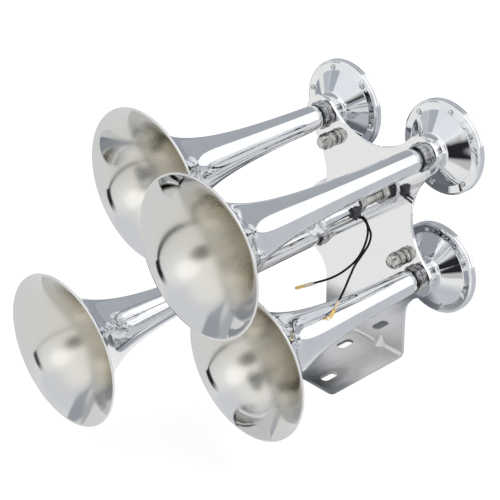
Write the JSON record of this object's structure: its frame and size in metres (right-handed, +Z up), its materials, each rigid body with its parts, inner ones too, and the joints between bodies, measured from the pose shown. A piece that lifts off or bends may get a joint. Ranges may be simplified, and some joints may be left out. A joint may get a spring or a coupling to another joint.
{
  "type": "air horn with trumpets",
  "caption": "Air horn of flared metal trumpets of unequal length on a bent plate with a slotted foot, a round driver behind each and an electric valve in the middle.",
  "frame": {"origin": "on the foot's underside, on the bracket's centre line, 50 mm in front of the plate's front face", "axes": "+Z up from the foot to the trumpets, +Y from the bells back to the drivers, +X across, so that the longest trumpet is the lower one at -X"},
  "size_m": [0.2568, 0.3398, 0.2769],
  "materials": {
    "chrome": "mirror chrome plate",
    "plate_steel": "bright plated sheet, slightly soft",
    "steel": "plated steel",
    "brass": "bright brass",
    "copper": "enamelled copper wire",
    "nickel": "warm nickel plate",
    "black_plastic": "black moulded plastic",
    "lead_insulation": "black soft sleeve"
  },
  "bodies": {
    "horn": {"bracket": "plate_steel", "trumpet_upper_left": "chrome", "trumpet_upper_right": "chrome", "trumpet_lower_left": "chrome", "trumpet_lower_right": "chrome", "lock_nut_upper_left": "chrome", "lock_nut_upper_right": "chrome", "lock_nut_lower_left": "chrome", "lock_nut_lower_right": "chrome", "driver_housing_upper_left": "chrome", "driver_housing_upper_right": "chrome", "driver_housing_lower_left": "chrome", "driver_housing_lower_right": "chrome", "driver_cover_upper_left": "chrome", "driver_cover_upper_right": "chrome", "driver_cover_lower_left": "chrome", "driver_cover_lower_right": "chrome", "flange_screw_upper_left_1": "steel", "flange_screw_upper_left_2": "steel", "flange_screw_upper_left_3": "steel", "flange_screw_upper_left_4": "steel", "flange_screw_upper_left_5": "steel", "flange_screw_upper_left_6": "steel", "flange_screw_upper_right_1": "steel", "flange_screw_upper_right_2": "steel", "flange_screw_upper_right_3": "steel", "flange_screw_upper_right_4": "steel", "flange_screw_upper_right_5": "steel", "flange_screw_upper_right_6": "steel", "flange_screw_lower_left_1": "steel", "flange_screw_lower_left_2": "steel", "flange_screw_lower_left_3": "steel", "flange_screw_lower_left_4": "steel", "flange_screw_lower_left_5": "steel", "flange_screw_lower_left_6": "steel", "flange_screw_lower_right_1": "steel", "flange_screw_lower_right_2": "steel", "flange_screw_lower_right_3": "steel", "flange_screw_lower_right_4": "steel", "flange_screw_lower_right_5": "steel", "flange_screw_lower_right_6": "steel", "valve_body": "nickel", "valve_lock_nut": "nickel", "coil_bushing": "black_plastic", "coil_can": "chrome", "coil_winding": "copper", "end_cap": "chrome", "return_spring": "steel", "lead_clip": "black_plastic", "lead_left": "lead_insulation", "lead_right": "lead_insulation", "terminal_left": "brass", "terminal_right": "brass", "air_fitting_upper": "nickel", "air_fitting_lower": "nickel"},
    "plunger": {"plunger": "steel"},
    "diaphragm_upper_left": {"diaphragm_upper_left": "steel"},
    "diaphragm_upper_right": {"diaphragm_upper_right": "steel"},
    "diaphragm_lower_left": {"diaphragm_lower_left": "steel"},
    "diaphragm_lower_right": {"diaphragm_lower_right": "steel"}
  },
  "joints": [
    {"name": "plunger_slide", "type": "slide", "parent": "horn", "child": "plunger", "axis": [0, -1, 0], "range_m": [0, 0.0025], "stiffness_N_per_m": 200, "springref_m": -0.003},
    {"name": "diaphragm_upper_left_lift", "type": "slide", "parent": "horn", "child": "diaphragm_upper_left", "axis": [0, 1, 0], "range_m": [0, 0.0005], "stiffness_N_per_m": 500, "springref_m": -0.0005},
    {"name": "diaphragm_upper_right_lift", "type": "slide", "parent": "horn", "child": "diaphragm_upper_right", "axis": [0, 1, 0], "range_m": [0, 0.0005], "stiffness_N_per_m": 500, "springref_m": -0.0005},
    {"name": "diaphragm_lower_left_lift", "type": "slide", "parent": "horn", "child": "diaphragm_lower_left", "axis": [0, 1, 0], "range_m": [0, 0.0005], "stiffness_N_per_m": 500, "springref_m": -0.0005},
    {"name": "diaphragm_lower_right_lift", "type": "slide", "parent": "horn", "child": "diaphragm_lower_right", "axis": [0, 1, 0], "range_m": [0, 0.0005], "stiffness_N_per_m": 500, "springref_m": -0.0005}
  ]
}
